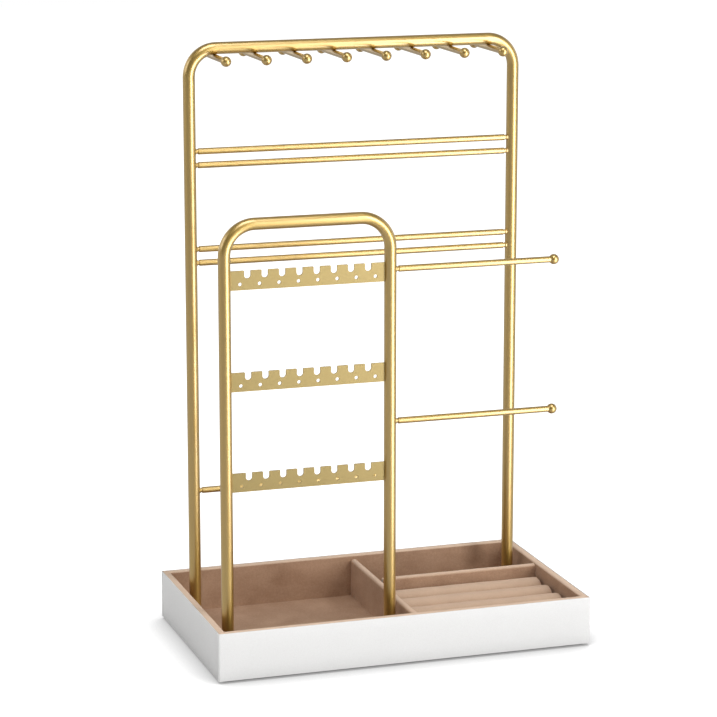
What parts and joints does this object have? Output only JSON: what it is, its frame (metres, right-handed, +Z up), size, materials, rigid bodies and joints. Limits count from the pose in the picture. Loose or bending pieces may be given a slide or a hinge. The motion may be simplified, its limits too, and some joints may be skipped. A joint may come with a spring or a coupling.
{
  "type": "jewelry stand",
  "caption": "Velvet-lined open tray carrying two gold bent-tube frames with rods, ball-ended hooks and arms, notched earring strips and a lift-out ring pad.",
  "frame": {"origin": "middle of the underside, on the surface the stand rests on", "axes": "+X to the right along the front, +Y towards the back, +Z up"},
  "size_m": [0.23, 0.133, 0.3572],
  "materials": {
    "gold_lacquer": "satin gold lacquer on steel tube and rod",
    "gold_sheet": "matte gold lacquer on sheet steel",
    "leatherette": "smooth white leatherette",
    "velvet": "beige velvet",
    "roll_velvet": "beige velvet over foam",
    "fibreboard": "raw fibreboard",
    "greyboard": "pressed grey board",
    "felt": "grey felt",
    "zinc_steel": "zinc-plated steel"
  },
  "bodies": {
    "stand": {"base_felt": "felt", "bottom_board": "fibreboard", "cross_rod_1": "gold_lacquer", "cross_rod_2": "gold_lacquer", "cross_rod_3": "gold_lacquer", "cross_rod_4": "gold_lacquer", "divider_core": "greyboard", "divider_velvet": "velvet", "earring_strip_1": "gold_sheet", "earring_strip_2": "gold_sheet", "earring_strip_3": "gold_sheet", "floor_lining": "velvet", "front_frame": "gold_lacquer", "hook_1": "gold_lacquer", "hook_2": "gold_lacquer", "hook_3": "gold_lacquer", "hook_4": "gold_lacquer", "hook_5": "gold_lacquer", "hook_6": "gold_lacquer", "hook_7": "gold_lacquer", "hook_8": "gold_lacquer", "leatherette_cover": "leatherette", "leg_insert_1": "zinc_steel", "leg_insert_2": "zinc_steel", "leg_insert_3": "zinc_steel", "leg_insert_4": "zinc_steel", "leg_screw_1": "zinc_steel", "leg_screw_2": "zinc_steel", "leg_screw_3": "zinc_steel", "leg_screw_4": "zinc_steel", "liner_back": "velvet", "liner_front": "velvet", "liner_left": "velvet", "liner_right": "velvet", "rear_arm": "gold_lacquer", "rear_frame": "gold_lacquer", "ring_wall_core": "greyboard", "ring_wall_velvet": "velvet", "side_arm_lower": "gold_lacquer", "side_arm_upper": "gold_lacquer", "wall_back": "fibreboard", "wall_front": "fibreboard", "wall_left": "fibreboard", "wall_right": "fibreboard"},
    "ring_pad": {"ring_pad_board": "greyboard", "ring_roll_1": "roll_velvet", "ring_roll_2": "roll_velvet", "ring_roll_3": "roll_velvet", "ring_roll_4": "roll_velvet"}
  },
  "joints": [
    {"name": "ring_pad_lift", "type": "slide", "parent": "stand", "child": "ring_pad", "axis": [0, 0, 1], "range_m": [0, 0.04]}
  ]
}
